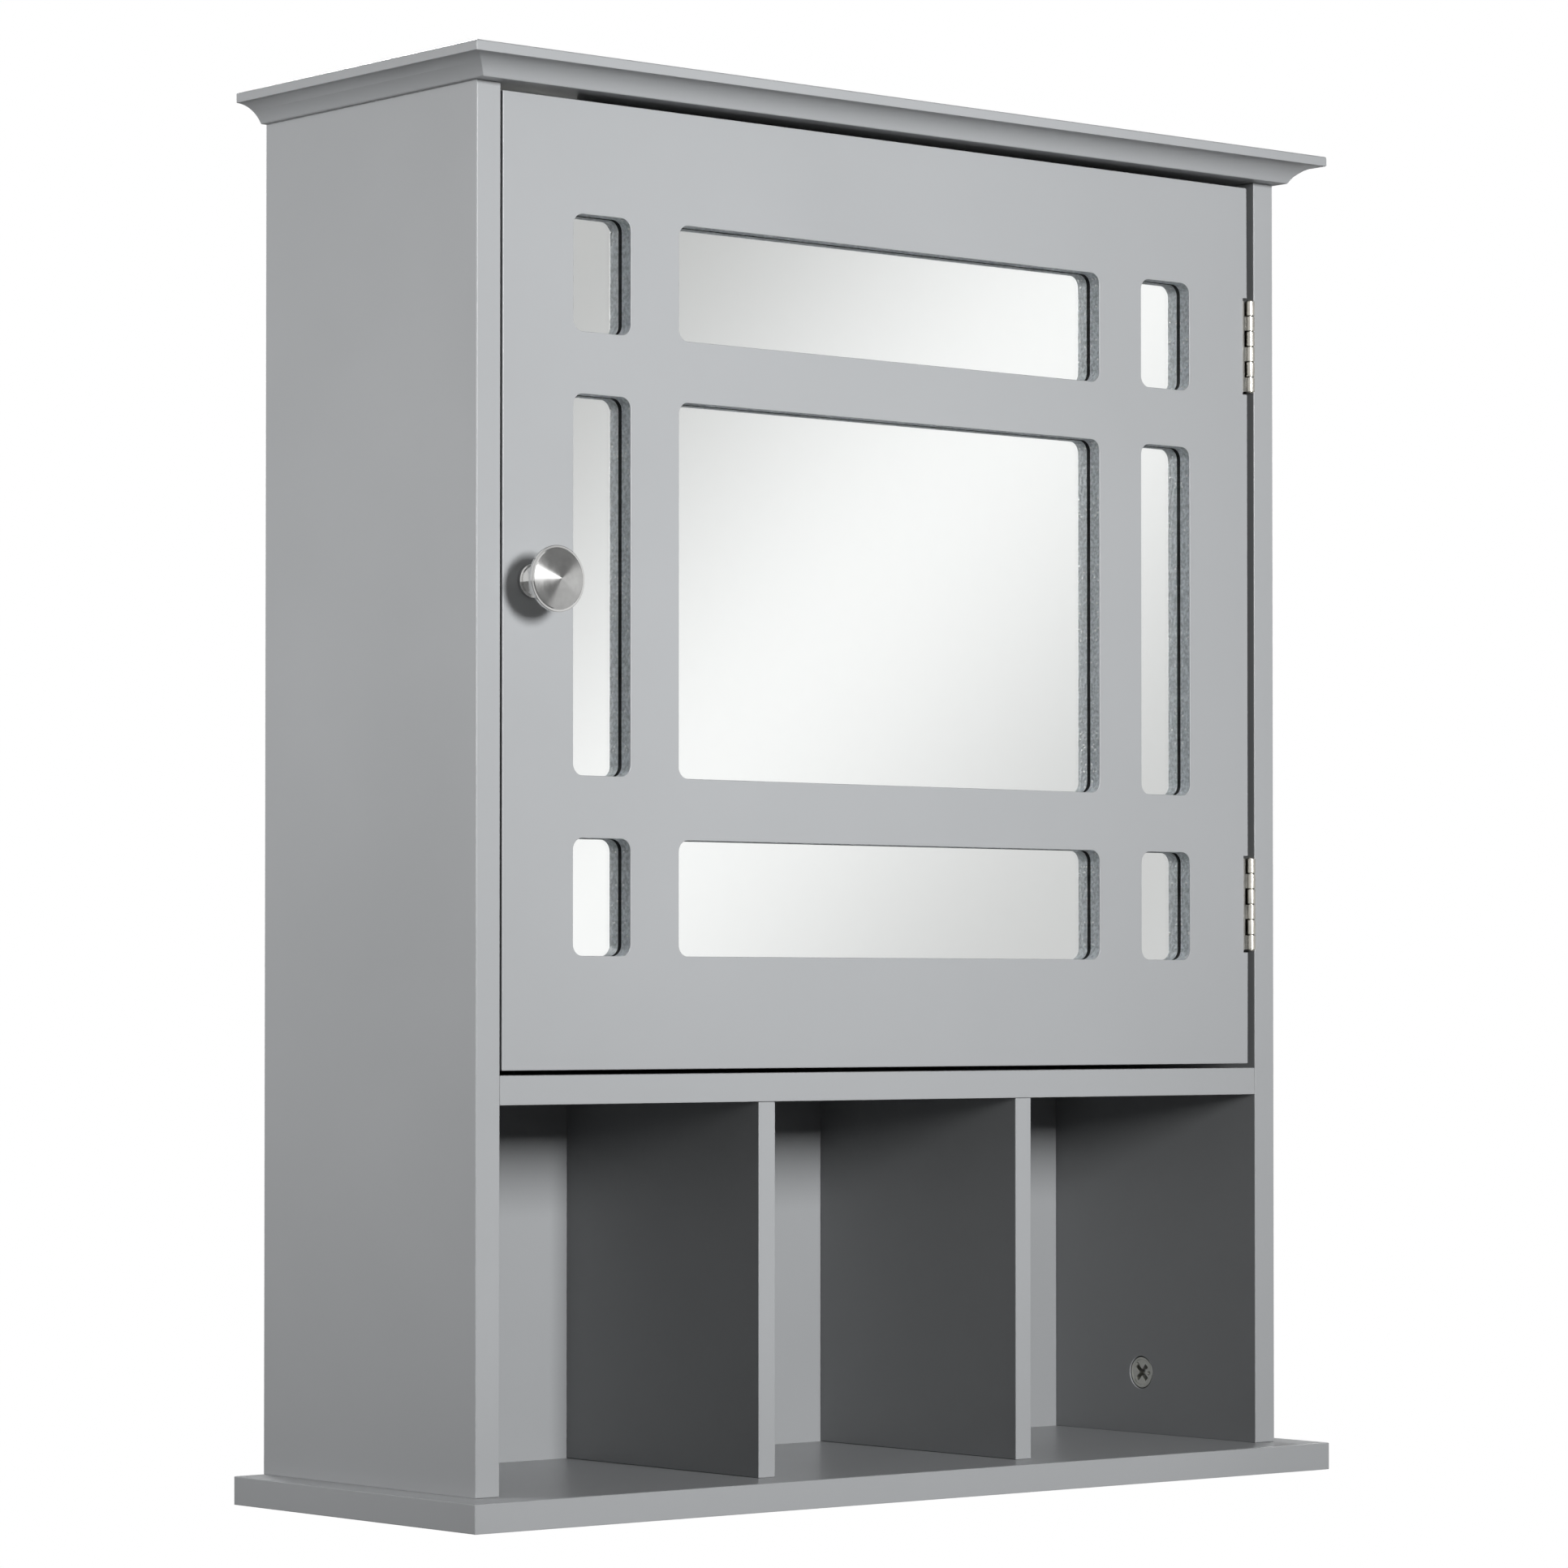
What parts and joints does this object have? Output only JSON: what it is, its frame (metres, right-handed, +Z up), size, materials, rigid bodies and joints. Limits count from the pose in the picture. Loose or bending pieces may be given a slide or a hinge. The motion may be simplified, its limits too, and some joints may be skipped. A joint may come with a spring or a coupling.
{
  "type": "wall cabinet",
  "caption": "Hanging wall cabinet with a crown-moulded top, a side-hinged door with a windowed mirror, an adjustable shelf behind it and open cubbies below.",
  "frame": {"origin": "midway between the two wall-screw holes, on the plane of the wall behind the hanging rail", "axes": "+X to the right as seen from the front, +Y towards the wall, +Z up"},
  "size_m": [0.48, 0.1708, 0.595],
  "materials": {
    "painted_board": "satin light grey paint on fibreboard",
    "mirror_glass": "silvered float glass",
    "hardboard": "raw brown hardboard",
    "nickel": "nickel-plated steel",
    "satin_nickel": "turned and polished satin nickel",
    "zinc_plate": "bright zinc-plated steel",
    "cast_zinc": "raw die-cast zinc",
    "beech": "fluted beech dowel",
    "white_plastic": "moulded white plastic",
    "magnet_ferrite": "sintered ferrite"
  },
  "bodies": {
    "cabinet": {"top_board": "painted_board", "bottom_board": "painted_board", "side_panel_left": "painted_board", "side_panel_right": "painted_board", "fixed_shelf": "painted_board", "divider_left": "painted_board", "divider_right": "painted_board", "back_panel": "painted_board", "hanging_rail": "painted_board", "lower_rail": "painted_board", "shelf_pins": "nickel", "upper_hinge_cabinet_leaf": "nickel", "upper_hinge_pin": "nickel", "lower_hinge_cabinet_leaf": "nickel", "lower_hinge_pin": "nickel", "hinge_cabinet_screws": "nickel", "catch_housing": "white_plastic", "catch_magnet": "magnet_ferrite", "catch_pole_plates": "zinc_plate", "catch_screws": "zinc_plate", "cam_locks": "cast_zinc", "cam_bolts": "zinc_plate", "carcass_dowels": "beech", "divider_dowels": "beech", "rail_dowels": "beech", "divider_screws": "zinc_plate"},
    "door": {"door_frame": "painted_board", "mirror": "mirror_glass", "mirror_backing": "hardboard", "backing_screws": "nickel", "upper_hinge_door_leaf": "nickel", "lower_hinge_door_leaf": "nickel", "hinge_door_screws": "nickel", "knob": "satin_nickel", "knob_screw": "zinc_plate", "strike_plate": "zinc_plate", "strike_screws": "zinc_plate"},
    "shelf": {"adjustable_shelf": "painted_board"}
  },
  "joints": [
    {"name": "door_hinge", "type": "hinge", "parent": "cabinet", "child": "door", "pos_m": [0.2106, -0.15, -0.17125], "axis": [0, 0, 1], "range_deg": [0, 170]},
    {"name": "shelf_lift", "type": "slide", "parent": "cabinet", "child": "shelf", "axis": [0, 0, 1], "range_m": [0, 0.032]}
  ]
}
